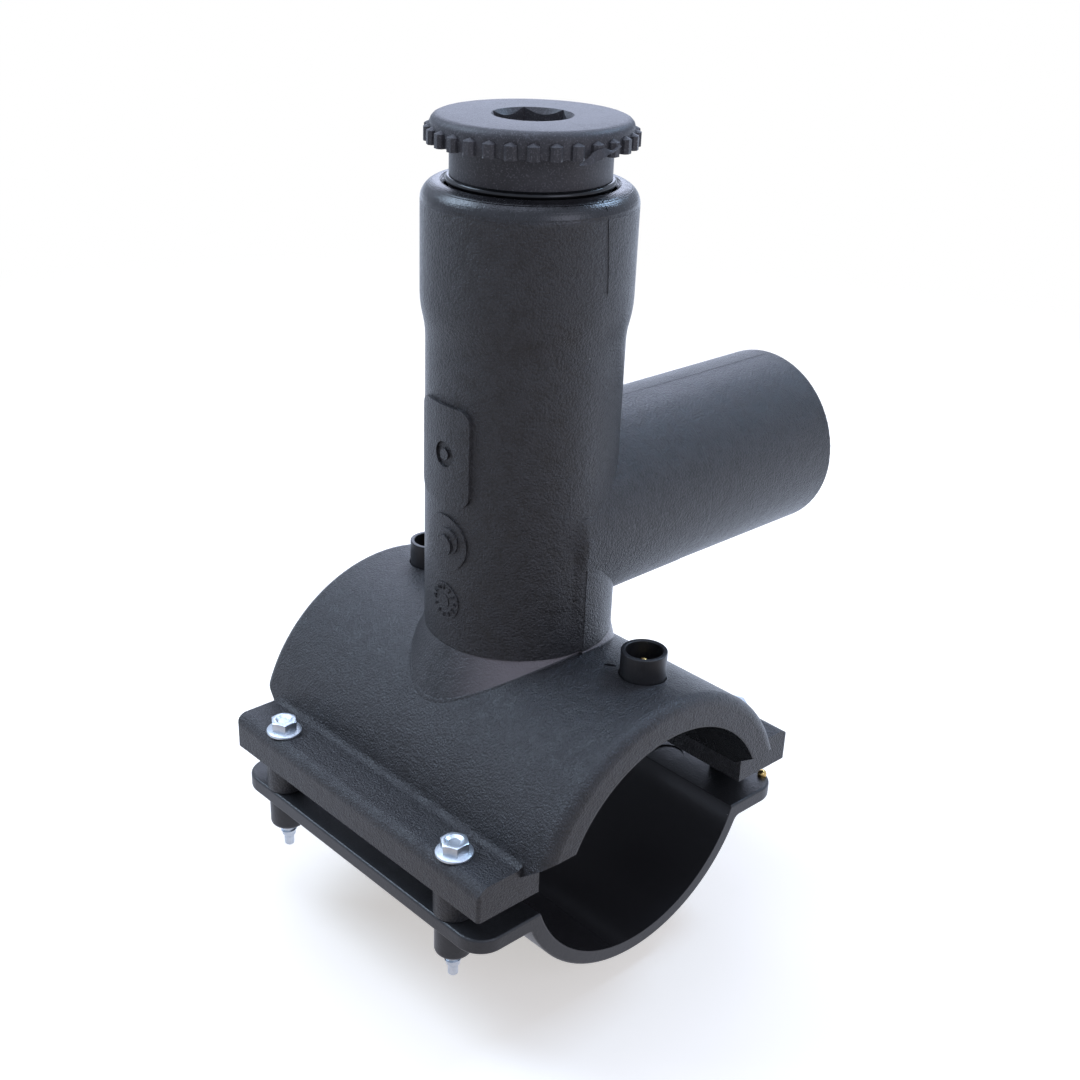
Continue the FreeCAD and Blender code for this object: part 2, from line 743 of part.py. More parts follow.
def terminal_pin(way):
    """A brass pin from the heating wire up into its shroud, held by a collar under the shroud."""
    top = shroud_top_z - pin_below_rim
    y = way * terminal_y
    stem = pin_seat(pin_stem_r, shroud_floor_z + fit_gap, way)
    contact = turned(
        (0, shroud_floor_z), (pin_r, shroud_floor_z), (pin_r, top - pin_chamfer),
        (pin_r - pin_chamfer, top), (0, top),
    ).translated(vec(terminal_x, y, 0))
    collar = upright(pin_collar_r, shroud_bottom_z - pin_collar_height, shroud_bottom_z, terminal_x, y)
    return stem.fuse([contact, collar])


def melt_indicator(way):
    """A small eye-shaped plug that the melt lifts, just below the shell's surface until then."""
    surface_z = math.sqrt(shell_r * shell_r - indicator_x * indicator_x)
    return indicator(indicator_length, indicator_width, main_r + indicator_floor,
                     surface_z - indicator_recess, way)


def all_nodes():
    nodes = {
        "saddle_body": saddle_body(),
        "underclamp": underclamp(),
        "brass_stud": brass_stud(),
        "screw_cap": screw_cap(),
        "cap_o_ring": o_ring(cap_ring_r, cap_ring_section_r, cap_ring_z),
        "cutter": cutter(),
        "cutter_o_ring": o_ring(cutter_ring_r, cutter_ring_section_r, cutter_ring_z),
        "heating_wire": wire_layer(wire_width),
    }
    screw = clamp_screw()
    for name, x, y in screw_places:
        nodes["clamp_screw_" + name] = screw.translated(vec(x, y, 0))
    for end, way in ends:
        nodes["terminal_shroud_" + end] = terminal_shroud(way)
        nodes["terminal_pin_" + end] = terminal_pin(way)
        nodes["melt_indicator_" + end] = melt_indicator(way)
    return nodes


os.makedirs("parts", exist_ok=True)
for name, shape in all_nodes().items():
    shape = shape.removeSplitter()
    shape.exportStep("parts/" + name + ".step")
    bounds = shape.BoundBox
    print(f"{name}: {len(shape.Solids)} solid, valid {shape.isValid()}, {shape.Volume:.0f} mm3, "
          f"x {bounds.XMin:.1f} {bounds.XMax:.1f}, y {bounds.YMin:.1f} {bounds.YMax:.1f}, "
          f"z {bounds.ZMin:.1f} {bounds.ZMax:.1f}")
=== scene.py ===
import math

import bpy
from mathutils import Matrix, Quaternion, Vector


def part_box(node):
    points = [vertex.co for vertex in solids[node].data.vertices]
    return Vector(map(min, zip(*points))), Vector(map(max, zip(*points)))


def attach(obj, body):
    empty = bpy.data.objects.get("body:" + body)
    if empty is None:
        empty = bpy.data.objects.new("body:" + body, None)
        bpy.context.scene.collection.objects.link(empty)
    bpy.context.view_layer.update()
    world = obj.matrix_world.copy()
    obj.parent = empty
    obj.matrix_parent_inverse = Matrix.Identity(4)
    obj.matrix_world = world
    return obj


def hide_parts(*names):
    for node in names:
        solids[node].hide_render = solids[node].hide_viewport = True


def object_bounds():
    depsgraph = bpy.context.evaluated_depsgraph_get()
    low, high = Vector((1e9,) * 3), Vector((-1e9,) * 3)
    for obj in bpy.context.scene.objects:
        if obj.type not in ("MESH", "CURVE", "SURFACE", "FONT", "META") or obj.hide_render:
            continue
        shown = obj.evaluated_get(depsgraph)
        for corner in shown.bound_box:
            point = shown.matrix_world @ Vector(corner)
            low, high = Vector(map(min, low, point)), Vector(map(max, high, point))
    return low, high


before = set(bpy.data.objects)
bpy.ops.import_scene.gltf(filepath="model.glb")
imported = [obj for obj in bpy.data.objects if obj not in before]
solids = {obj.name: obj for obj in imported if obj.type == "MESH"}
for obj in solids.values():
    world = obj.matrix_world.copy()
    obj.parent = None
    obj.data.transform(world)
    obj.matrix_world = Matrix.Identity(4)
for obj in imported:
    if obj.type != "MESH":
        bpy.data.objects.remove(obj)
packed_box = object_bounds()
mm = 0.001


# Saddle moulding
# One injection moulding in black polyethylene. Spark-eroded mould walls leave a leathery grain outside,
# and polished cores leave the bores, the seat on the main and the tower's end face smooth.

def put(tree, kind, inputs=(), out=0, **settings):
    """Adds one shader node, sets or links its inputs, and gives back one output, or all for None."""
    made = tree.nodes.new("ShaderNode" + kind)
    for setting, value in settings.items():
        setattr(made, setting, value)
    for place, value in dict(inputs).items():
        if isinstance(value, bpy.types.NodeSocket):
            tree.links.new(value, made.inputs[place])
        else:
            made.inputs[place].default_value = value
    return made.outputs if out is None else made.outputs[out]


def reckon(tree, operation, *values):
    return put(tree, "Math", enumerate(values), operation=operation)


def rise(tree, value, low, high):
    """0 on low's side, 1 on high's side, and smooth between the two."""
    return put(tree, "MapRange", {"Value": value, "From Min": low, "From Max": high},
               interpolation_type="SMOOTHSTEP")


def blend(tree, share, first, second):
    return put(tree, "Mix", {0: share, 6: first, 7: second}, out=2, data_type="RGBA")


def all_of(tree, first, *masks):
    for mask in masks:
        first = reckon(tree, "MULTIPLY", first, mask)
    return first


def any_of(tree, first, *masks):
    for mask in masks:
        first = reckon(tree, "MAXIMUM", first, mask)
    return first


def distance(tree, *parts):
    """How far a point is from an axis, from its two coordinates square to that axis."""
    squares = [reckon(tree, "MULTIPLY", part, part) for part in parts]
    return reckon(tree, "SQRT", reckon(tree, "ADD", *squares))


def effect(name, takes, gives):
    """A node group with named inputs and outputs: its tree, the inputs' sockets, the outputs' sockets."""
    group = bpy.data.node_groups.new(name, "ShaderNodeTree")
    for label, kind in takes.items():
        group.interface.new_socket(label, in_out="INPUT", socket_type="NodeSocket" + kind)
    for label, kind in gives.items():
        group.interface.new_socket(label, in_out="OUTPUT", socket_type="NodeSocket" + kind)
    given = group.nodes.new("NodeGroupInput")
    wanted = group.nodes.new("NodeGroupOutput")
    return group, given.outputs, wanted.inputs


def grouped(tree, group, inputs, out=0):
    """Places a node group in a material, with its own values."""
    made = tree.nodes.new("ShaderNodeGroup")
    made.node_tree = group
    for label, value in inputs.items():
        if isinstance(value, bpy.types.NodeSocket):
            tree.links.new(value, made.inputs[label])
        else:
            made.inputs[label].default_value = value
    return made.outputs[out]


mould_grain, given, wanted = effect(
    "mould_grain", {"Vector": "Vector", "Cells": "Float"}, {"Height": "Float"})
cell = put(mould_grain, "TexVoronoi", {"Vector": given["Vector"], "Scale": given["Cells"],
                                       "Smoothness": 0.7}, feature="SMOOTH_F1")
finer = reckon(mould_grain, "MULTIPLY", given["Cells"], 2.3)
grit = put(mould_grain, "TexNoise", {"Vector": given["Vector"], "Scale": finer, "Detail": 3.0}, out="Fac")
coarser = reckon(mould_grain, "MULTIPLY", given["Cells"], 0.16)
patch = put(mould_grain, "TexNoise", {"Vector": given["Vector"], "Scale": coarser, "Detail": 2.0},
            out="Fac")
dome = reckon(mould_grain, "MULTIPLY_ADD", cell, -0.8, 0.8)
mould_grain.links.new(
    reckon(mould_grain, "MULTIPLY", reckon(mould_grain, "MULTIPLY_ADD", grit, 0.9, dome),
           reckon(mould_grain, "MULTIPLY_ADD", patch, 1.1, 0.3)), wanted["Height"])

tone_drift, given, wanted = effect(
    "tone_drift", {"Vector": "Vector", "Dark": "Color", "Light": "Color", "Patches": "Float"},
    {"Color": "Color"})
drift = put(tone_drift, "TexNoise", {"Vector": given["Vector"], "Scale": given["Patches"],
                                     "Detail": 5.0, "Roughness": 0.65}, out="Fac")
tone_drift.links.new(
    blend(tone_drift, rise(tone_drift, drift, 0.3, 0.7), given["Dark"], given["Light"]),
    wanted["Color"])

handling_marks, given, wanted = effect(
    "handling_marks", {"Vector": "Vector", "Lines": "Float"}, {"Mask": "Float"})
found = []
for turn in ((0.3, 0.9, 0.2), (1.3, 0.2, 2.1), (2.2, 1.4, 0.7)):
    laid = put(handling_marks, "Mapping", {"Vector": given["Vector"], "Rotation": turn,
                                           "Scale": (1.0, 1.0, 0.035)})
    line = put(handling_marks, "TexNoise", {"Vector": laid, "Scale": given["Lines"], "Detail": 1.0},
               out="Fac")
    off = reckon(handling_marks, "ABSOLUTE", reckon(handling_marks, "SUBTRACT", line, 0.62))
    found.append(rise(handling_marks, off, 0.008, 0.002))
where = put(handling_marks, "TexNoise", {"Vector": given["Vector"], "Scale": 60.0, "Detail": 2.0},
            out="Fac")
handling_marks.links.new(
    all_of(handling_marks, any_of(handling_marks, *found), rise(handling_marks, where, 0.5, 0.62)),
    wanted["Mask"])

dust_flecks, given, wanted = effect(
    "dust_flecks", {"Vector": "Vector", "Cells": "Float", "Size": "Float"}, {"Mask": "Float"})
spot = put(dust_flecks, "TexVoronoi", {"Vector": given["Vector"], "Scale": given["Cells"]}, out=None)
chance = put(dust_flecks, "SeparateColor", {0: spot["Color"]})
near = reckon(dust_flecks, "LESS_THAN", spot["Distance"],
              reckon(dust_flecks, "MULTIPLY", given["Size"], chance))
dust_flecks.links.new(all_of(dust_flecks, near, reckon(dust_flecks, "GREATER_THAN", chance, 0.72)),
                      wanted["Mask"])

ring_marks, given, wanted = effect(
    "ring_marks", {"Vector": "Vector", "Pitch": "Float"}, {"Height": "Float"})
parts = put(ring_marks, "SeparateXYZ", {0: given["Vector"]}, out=None)
turns = reckon(ring_marks, "DIVIDE", distance(ring_marks, parts[0], parts[1]), given["Pitch"])
uneven = put(ring_marks, "TexNoise", {"Vector": put(ring_marks, "CombineXYZ", {0: turns}),
                                      "Scale": 1.7, "Detail": 3.0}, out="Fac")
ring_marks.links.new(uneven, wanted["Height"])


def finish(name, roughness, specular=0.5):
    """A new material: itself, its tree, its Principled shader and its Object coordinates."""
    material = bpy.data.materials.new(name)
    material.use_nodes = True
    tree = material.node_tree
    shader = tree.nodes["Principled BSDF"]
    shader.inputs["Roughness"].default_value = roughness
    shader.inputs["Specular IOR Level"].default_value = specular
    return material, tree, shader, put(tree, "TexCoord", out="Object")


def relief(tree, shader, height, depth, strength=1.0):
    bump = put(tree, "Bump", {"Height": height, "Distance": depth, "Strength": strength})
    tree.links.new(bump, shader.inputs["Normal"])


def dress(piece, material):
    """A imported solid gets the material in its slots, a new piece as its only one."""
    if piece.material_slots:
        for entry in piece.material_slots:
            entry.material = material
    else:
        piece.data.materials.append(material)


# Painted glints: small bright specks laid into a surface's colour where the grain would catch the light.
painted_glints, given, wanted = effect(
    "painted_glints", {"Vector": "Vector", "Cells": "Float"}, {"Mask": "Float"})
point = put(painted_glints, "TexNoise", {"Vector": given["Vector"], "Scale": given["Cells"], "Detail": 2.0},
            out="Fac")
painted_glints.links.new(rise(painted_glints, point, 0.52, 0.72), wanted["Mask"])

bore_r = 45.2 * mm
tower_bore_r = 26.5 * mm
outlet_bore_r = 26.0 * mm
outlet_height = 92.6 * mm
foot_top = 56.45 * mm
foot_reach = 47 * mm
shell_skin_r = 56.3 * mm
outlet_bore_start = 24 * mm
tower_round_start = 193.5 * mm
soft = 0.3 * mm

moulding, tree, shader, place = finish("moulded_polyethylene", 0.42, specular=0.62)
parts = put(tree, "SeparateXYZ", {0: place}, out=None)
from_main = distance(tree, parts[0], parts[2])
from_tower = distance(tree, parts[0], parts[1])
from_outlet = distance(tree, parts[1], reckon(tree, "SUBTRACT", parts[2], outlet_height))
in_main = rise(tree, from_main, bore_r + soft, bore_r)
in_tower = all_of(tree, rise(tree, from_tower, tower_bore_r + soft, tower_bore_r),
                  rise(tree, parts[2], bore_r, bore_r + 2 * soft))
in_outlet = all_of(tree, rise(tree, from_outlet, outlet_bore_r + soft, outlet_bore_r),
                   rise(tree, parts[0], outlet_bore_start, outlet_bore_start + 2 * mm))
end_face = rise(tree, parts[2], tower_round_start - mm, tower_round_start + mm)
foot = all_of(tree, rise(tree, parts[2], foot_top + soft, foot_top),
              rise(tree, from_main, shell_skin_r - soft, shell_skin_r),
              rise(tree, reckon(tree, "ABSOLUTE", parts[0]), foot_reach + 3 * mm, foot_reach))
smooth = any_of(tree, in_main, in_tower, in_outlet, reckon(tree, "MULTIPLY", end_face, 0.85),
                reckon(tree, "MULTIPLY", foot, 0.4))
grained = reckon(tree, "SUBTRACT", 1.0, smooth)
colour = grouped(tree, tone_drift, {"Vector": place, "Dark": (0.0050, 0.0048, 0.0055, 1),
                                    "Light": (0.0095, 0.0090, 0.0098, 1), "Patches": 34.0})
# Bright specks in the saddle's colour: painted glints in place of the grain's sparkle.
points = grouped(tree, painted_glints, {"Vector": place, "Cells": 1900.0})
colour = blend(tree, reckon(tree, "MULTIPLY", points, 0.7), colour, (0.052, 0.049, 0.053, 1))
grain = grouped(tree, mould_grain, {"Vector": place, "Cells": 1350.0})
# Grain crests lighter than its pits: painted light on the crests and painted shade in the pits.
crest_painted_light = rise(tree, grain, 0.40, 0.95)
colour = blend(tree, reckon(tree, "MULTIPLY", crest_painted_light, 0.75), colour, (0.030, 0.028, 0.031, 1))
# A pale pinkish band on the foot, growing towards the camera's right side: a painted highlight.
across = reckon(tree, "SUBTRACT", parts[0], parts[1])
foot_painted_highlight = all_of(tree, foot, rise(tree, across, -34 * mm, 2 * mm))
colour = blend(tree, reckon(tree, "MULTIPLY", foot_painted_highlight, 0.9), colour, (0.215, 0.183, 0.189, 1))
colour = blend(tree, in_main, colour, (0.028, 0.028, 0.028, 1))
scratches = grouped(tree, handling_marks, {"Vector": place, "Lines": 420.0})
colour = blend(tree, reckon(tree, "MULTIPLY", scratches, 0.35), colour, (0.06, 0.06, 0.065, 1))
flecks = grouped(tree, dust_flecks, {"Vector": place, "Cells": 85.0, "Size": 0.024})
colour = blend(tree, reckon(tree, "MULTIPLY", flecks, 0.7), colour, (0.42, 0.42, 0.41, 1))
tree.links.new(colour, shader.inputs["Base Color"])
rings = grouped(tree, ring_marks, {"Vector": place, "Pitch": 0.55 * mm})
height = reckon(tree, "MULTIPLY_ADD", rings, reckon(tree, "MULTIPLY", end_face, 0.35),
                all_of(tree, grain, grained))
relief(tree, shader, height, 0.38 * mm, 1.0)
sheen = reckon(tree, "MULTIPLY_ADD", grained, 0.08, 0.23)
tree.links.new(reckon(tree, "MULTIPLY_ADD", scratches, 0.15, sheen), shader.inputs["Roughness"])
dress(solids["saddle_body"], moulding)


# Parting lines of the moulding
# Fine ridges of polyethylene where the halves of the mould met: up the tower's side and along the outlet's
# crown. They stand a fraction of a millimetre proud of the skin.

def start_edit(piece):
    bpy.ops.object.select_all(action="DESELECT")
    piece.select_set(True)
    bpy.context.view_layer.objects.active = piece
    bpy.ops.object.mode_set(mode="EDIT")
    bpy.ops.mesh.select_all(action="SELECT")


def end_edit(piece, name, smooth_under=35):
    """Closes and cleans the mesh, puts its place in it, and shades it smooth below so many degrees."""
    bpy.ops.mesh.select_all(action="SELECT")
    bpy.ops.mesh.remove_doubles(threshold=1e-6)
    bpy.ops.mesh.fill_holes(sides=0)
    bpy.ops.mesh.normals_make_consistent(inside=False)
    bpy.ops.object.mode_set(mode="OBJECT")
    bpy.ops.object.transform_apply(location=True, rotation=True, scale=True)
    bpy.ops.object.shade_smooth_by_angle(angle=math.radians(smooth_under))
    piece.name = name
    return piece


def wrapped(name, columns, rows, thickness, side, place_of, smooth_under):
    """A thin sheet: place_of turns a grid point's two shares, 0 to 1 across and up, into its place in
    millimetres. The sheet thickens along its faces' normals for side 1, and against them for -1."""
    bpy.ops.object.select_all(action="DESELECT")
    bpy.ops.mesh.primitive_grid_add(x_subdivisions=columns, y_subdivisions=rows, size=1)
    piece = bpy.context.object
    for vertex in piece.data.vertices:
        vertex.co = [side_mm * mm for side_mm in place_of(vertex.co.x + 0.5, vertex.co.y + 0.5)]
    sheet = piece.modifiers.new("sheet", "SOLIDIFY")
    sheet.thickness = thickness * mm
    sheet.offset = side
    bpy.ops.object.modifier_apply(modifier=sheet.name)
    start_edit(piece)
    return end_edit(piece, name, smooth_under)


def ridge(name, points, size, roll=0.0):
    """A bar with a square section, drawn out from point to point in millimetres and rolled by degrees."""
    points = [Vector(point) * mm for point in points]
    along = (points[1] - points[0]).to_track_quat("Z", "Y")
    facing = along @ Quaternion((0, 0, 1), math.radians(roll))
    bpy.ops.object.select_all(action="DESELECT")
    bpy.ops.mesh.primitive_plane_add(size=size * mm, location=points[0], rotation=facing.to_euler())
    piece = bpy.context.object
    start_edit(piece)
    for here, there in zip(points, points[1:]):
        bpy.ops.mesh.extrude_region_move(TRANSFORM_OT_translate={"value": there - here})
    return end_edit(piece, name, 60)


tower_r = 30.4
head_r = 32.1
outlet_half_r = 31.3
tower_line = [(0.1, -outlet_half_r - 0.02, 57.6), (0.1, -outlet_half_r - 0.02, 85.2)]
head_line = [(1.6, -head_r + 0.09, 172.0), (1.3, -head_r + 0.07, 180.0), (0.7, -head_r + 0.05, 188.0),
             (0.2, -head_r + 0.01, 193.6), (0.1, -head_r + 0.84, 196.6), (0.0, -head_r + 2.89, 198.6)]
outlet_crown = [(34.0, 0.0, 124.36), (56.5, 0.0, 124.18), (57.5, 0.0, 124.04), (117.0, 0.0, 124.04)]
for name, points, size, roll in (("parting_line_foot", tower_line, 0.24, 45),
                                 ("parting_line_head", head_line, 0.26, 0),
                                 ("parting_line_outlet", outlet_crown, 0.22, 0)):
    line = ridge(name, points, size, roll)
    dress(line, moulding)
    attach(line, "saddle")

# The outlet's half of the moulding stands a little prouder than the tower, and most at the outlet's root.
# A gentle ramp of the same plastic leads up to it on either side.
outlet_axis_z = outlet_height / mm
outlet_root_r = 32.1
ramp_low = 57.4
ramp_high = 102.6
ramp_width = 5.5
ramp_sunk = 0.12
ramp_overlap = 0.05


def on_ramp(way, across, up):
    """A ramp's point, from the tower's skin at 0 across to the ledge of the outlet's half at 1."""
    level = ramp_low + up * (ramp_high - ramp_low)
    root_r = math.sqrt(max(outlet_root_r ** 2 - (level - outlet_axis_z) ** 2, 0.0))
    top = max(root_r, outlet_half_r if level < outlet_axis_z else tower_r)
    eased = across * across * (3 - 2 * across)
    out = tower_r - ramp_sunk + eased * (top - tower_r + ramp_sunk + 0.01)
    turn = (1 - across) * ramp_width / tower_r
    return ramp_overlap - out * math.sin(turn), way * out * math.cos(turn), level


for way, name in ((-1, "seam_ramp_front"), (1, "seam_ramp_rear")):
    ramp = wrapped(name, 10, 64, 0.5, way, lambda across, up: on_ramp(way, across, up), 30)
    dress(ramp, moulding)
    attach(ramp, "saddle")


# Date dial
# The mould's date insert leaves a ring of raised numbers round a dished hub. Plain numbers, part of the
# same moulding.

dial_y = 0.8 * mm
dial_z = 72.1 * mm
dial_skin_r = 30.7 * mm
number_ring_r = 4.55 * mm
number_height = 2.1 * mm
proud = 0.34 * mm
hub_r = 2.5 * mm


def pick(piece, elements, wanted):
    """Selects, for an edit, only the edges or polygons for which the test holds."""
    bpy.ops.mesh.select_all(action="DESELECT")
    bpy.ops.object.mode_set(mode="OBJECT")
    for element in getattr(piece.data, elements):
        element.select = wanted(element)
    bpy.ops.object.mode_set(mode="EDIT")


def onto_dial(piece):
    """Wraps a flat piece that faces -X round the tower."""
    for vertex in piece.data.vertices:
        out = -vertex.co.x
        turn = vertex.co.y / dial_skin_r
        vertex.co.x = -out * math.cos(turn)
        vertex.co.y = out * math.sin(turn)


numbers = []
for hour in range(12):
    turn = -hour * math.pi / 6
    facing = Matrix(((0, 0, -1), (-1, 0, 0), (0, 1, 0))).to_4x4() @ Matrix.Rotation(turn, 4, "Z")
    middle = facing @ Vector((0, number_ring_r, 0))
    bpy.ops.object.select_all(action="DESELECT")
    bpy.ops.object.text_add(location=(-dial_skin_r, dial_y + middle.y, dial_z + middle.z),
                            rotation=facing.to_euler())
    number = bpy.context.object
    number.data.body = str(hour + 1)
    number.data.size = number_height
    number.data.align_x = "CENTER"
    number.data.align_y = "CENTER"
    number.data.extrude = proud
    number.data.space_character = 0.85
    bpy.ops.object.convert(target="MESH")
    number = bpy.context.object
    bpy.ops.object.transform_apply(location=True, rotation=True, scale=True)
    numbers.append(number)
for number in numbers:
    number.select_set(True)
bpy.context.view_layer.objects.active = numbers[0]
bpy.ops.object.join()
dial = bpy.context.object
dial.name = "date_dial_numbers"
onto_dial(dial)
dress(dial, moulding)
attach(dial, "saddle")

bpy.ops.object.select_all(action="DESELECT")
bpy.ops.mesh.primitive_cylinder_add(vertices=40, radius=hub_r, depth=2 * proud,
                                    location=(-dial_skin_r, dial_y, dial_z),
                                    rotation=(0, math.pi / 2, 0))
hub = bpy.context.object
start_edit(hub)
pick(hub, "polygons", lambda face: len(face.vertices) > 4)
bpy.ops.mesh.inset(thickness=0.5 * mm, depth=-0.18 * mm)
hub = end_edit(hub, "date_dial_hub", 40)
dress(hub, moulding)
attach(hub, "saddle")


# Underclamp
# A thinner arch of the same black polyethylene, with flat flanges and a boss under each screw. It hangs
# below the main, and its inside is polished by the core of its mould.

clamp_axis_z = 9.05 * mm
clamp_inner_r = 47.0 * mm

clamp_skin, tree, shader, place = finish("clamp_polyethylene", 0.36, specular=0.62)
parts = put(tree, "SeparateXYZ", {0: place}, out=None)
from_axis = distance(tree, parts[0], reckon(tree, "SUBTRACT", parts[2], clamp_axis_z))
inside = rise(tree, from_axis, clamp_inner_r + soft, clamp_inner_r)
colour = grouped(tree, tone_drift, {"Vector": place, "Dark": (0.0240, 0.0240, 0.0262, 1),
                                    "Light": (0.0350, 0.0350, 0.0378, 1), "Patches": 45.0})
colour = blend(tree, inside, colour, (0.040, 0.038, 0.040, 1))
outside = reckon(tree, "SUBTRACT", 1.0, inside)
scratches = all_of(tree, grouped(tree, handling_marks, {"Vector": place, "Lines": 360.0}), outside)
colour = blend(tree, reckon(tree, "MULTIPLY", scratches, 0.5), colour, (0.07, 0.07, 0.075, 1))
flecks = grouped(tree, dust_flecks, {"Vector": place, "Cells": 110.0, "Size": 0.022})
colour = blend(tree, reckon(tree, "MULTIPLY", flecks, 0.6), colour, (0.36, 0.36, 0.35, 1))
tree.links.new(colour, shader.inputs["Base Color"])
grain = grouped(tree, mould_grain, {"Vector": place, "Cells": 1300.0})
height = all_of(tree, grain, reckon(tree, "MULTIPLY_ADD", outside, 0.5, 0.05))
relief(tree, shader, height, 0.14 * mm, 0.8)
sheen = reckon(tree, "MULTIPLY_ADD", outside, 0.16, 0.20)
tree.links.new(reckon(tree, "MULTIPLY_ADD", scratches, 0.2, sheen), shader.inputs["Roughness"])
dress(solids["underclamp"], clamp_skin)


# Heating wire
# Resistance wire laid in a doubled spiral just below the skin of the bore, in its own thin coat of
# polyethylene, so that only a dark copper tone shows.

wire_skin, tree, shader, place = finish("coated_wire", 0.33)
colour = grouped(tree, tone_drift, {"Vector": place, "Dark": (0.020, 0.012, 0.009, 1),
                                    "Light": (0.055, 0.028, 0.018, 1), "Patches": 90.0})
tree.links.new(colour, shader.inputs["Base Color"])
relief(tree, shader, grouped(tree, mould_grain, {"Vector": place, "Cells": 900.0}), 0.05 * mm, 0.5)
dress(solids["heating_wire"], wire_skin)


# Clamp screws
# Cold-headed steel screws in bright zinc: a hexagon with a dished top on a coned flange, a rolled thread
# that cuts into the underclamp's boss, and a plain dog point. They seat on the saddle's side flanges.

def turned(name, outline, sides=96, smooth_under=35):
    """A turned shape: a circle drawn out ring by ring, through (radius, height) in millimetres."""
    (radius, level), *rings = outline
    bpy.ops.object.select_all(action="DESELECT")
    bpy.ops.mesh.primitive_circle_add(vertices=sides, radius=radius * mm, location=(0, 0, level * mm))
    piece = bpy.context.object
    start_edit(piece)
    for next_radius, next_level in rings:
        lift = (0, 0, (next_level - level) * mm)
        bpy.ops.mesh.extrude_region_move(TRANSFORM_OT_translate={"value": lift})
        spread = next_radius / radius
        bpy.ops.transform.resize(value=(spread, spread, 1), center_override=(0, 0, next_level * mm))
        radius, level = next_radius, next_level
    return end_edit(piece, name, smooth_under)


def soften(piece, width, angle=30, segments=2):
    """Rounds the sharp edges by a bevel of so many millimetres."""
    bpy.ops.object.select_all(action="DESELECT")
    piece.select_set(True)
    bpy.context.view_layer.objects.active = piece
    bevel = piece.modifiers.new("soften", "BEVEL")
    bevel.width = width * mm
    bevel.segments = segments
    bevel.angle_limit = math.radians(angle)
    bevel.use_clamp_overlap = True
    bpy.ops.object.modifier_apply(modifier=bevel.name)
    bpy.ops.object.shade_smooth_by_angle(angle=math.radians(40))
    return piece


def carve(piece, tool, way="DIFFERENCE", solver="EXACT"):
    """Takes a tool's shape out of a piece, or joins or keeps it, and clears the tool away."""
    bpy.ops.object.select_all(action="DESELECT")
    piece.select_set(True)
    bpy.context.view_layer.objects.active = piece
    change = piece.modifiers.new("carve", "BOOLEAN")
    change.operation = way
    change.solver = solver
    change.object = tool
    bpy.ops.object.modifier_apply(modifier=change.name)
    bpy.data.objects.remove(tool)
    return piece


def prism(flats, low, high):
    """A hexagon prism on Z, in millimetres."""
    corner = flats / math.sqrt(3)
    bpy.ops.object.select_all(action="DESELECT")
    bpy.ops.mesh.primitive_cylinder_add(vertices=6, radius=corner * mm, depth=(high - low) * mm,
                                        location=(0, 0, (high + low) / 2 * mm),
                                        rotation=(0, 0, math.pi / 2))
    piece = bpy.context.object
    bpy.ops.object.transform_apply(location=True, rotation=True, scale=True)
    return piece


def helix(name, root_r, crest_r, pitch, root_width, crest_width, low, high, steps=40):
    """A screw thread's ridge: a small square drawn round Z by a screw, sizes in millimetres."""
    bpy.ops.object.select_all(action="DESELECT")
    bpy.ops.mesh.primitive_plane_add(size=1, location=((root_r + crest_r) / 2 * mm, 0, low * mm),
                                     rotation=(math.pi / 2, 0, 0))
    piece = bpy.context.object
    piece.scale = ((crest_r - root_r) * mm, root_width * mm, 1)
    bpy.ops.object.transform_apply(location=True, rotation=True, scale=True)
    middle = (root_r + crest_r) / 2 * mm
    for vertex in piece.data.vertices:
        vertex.select = vertex.co.x > middle
    bpy.ops.object.mode_set(mode="EDIT")
    bpy.ops.transform.resize(value=(1, 1, crest_width / root_width), center_override=(0, 0, low * mm))
    bpy.ops.mesh.select_all(action="SELECT")
    bpy.ops.mesh.delete(type="ONLY_FACE")
    bpy.ops.object.mode_set(mode="OBJECT")
    turn = piece.modifiers.new("turn", "SCREW")
    turn.axis = "Z"
    turn.angle = 2 * math.pi
    turn.screw_offset = pitch * mm
    turn.iterations = max(1, round((high - low) / pitch))
    turn.steps = steps
    turn.render_steps = steps
    bpy.ops.object.modifier_apply(modifier=turn.name)
    start_edit(piece)
    return end_edit(piece, name, 50)


def join(name, *pieces):
    bpy.ops.object.select_all(action="DESELECT")
    for piece in pieces:
        piece.select_set(True)
    bpy.context.view_layer.objects.active = pieces[0]
    bpy.ops.object.join()
    pieces[0].name = name
    return pieces[0]


seat = 15.8
head_flats = 8.0
head_top = seat + 4.7
head_flange_r = 5.95
shank_top_r = 2.5
shank_r = 2.25
point_r = 1.65
point_z = -30.2
screw_places = {"front_left": (-63.7, -44.5), "front_right": (63.7, -44.5),
                "rear_left": (-63.7, 44.5), "rear_right": (63.7, 44.5)}

zinc, tree, shader, place = finish("bright_zinc", 0.22)
shader.inputs["Metallic"].default_value = 1.0
bloom = grouped(tree, tone_drift, {"Vector": place, "Dark": (0.60, 0.66, 0.72, 1),
                                   "Light": (0.76, 0.81, 0.86, 1), "Patches": 420.0})
scratches = grouped(tree, handling_marks, {"Vector": place, "Lines": 1800.0})
tree.links.new(blend(tree, reckon(tree, "MULTIPLY", scratches, 0.4), bloom, (0.45, 0.47, 0.50, 1)),
               shader.inputs["Base Color"])
dull = put(tree, "TexNoise", {"Vector": place, "Scale": 700.0, "Detail": 3.0}, out="Fac")
tree.links.new(reckon(tree, "MULTIPLY_ADD", dull, 0.20, 0.28), shader.inputs["Roughness"])
relief(tree, shader, grouped(tree, mould_grain, {"Vector": place, "Cells": 1500.0}), 0.03 * mm, 0.5)

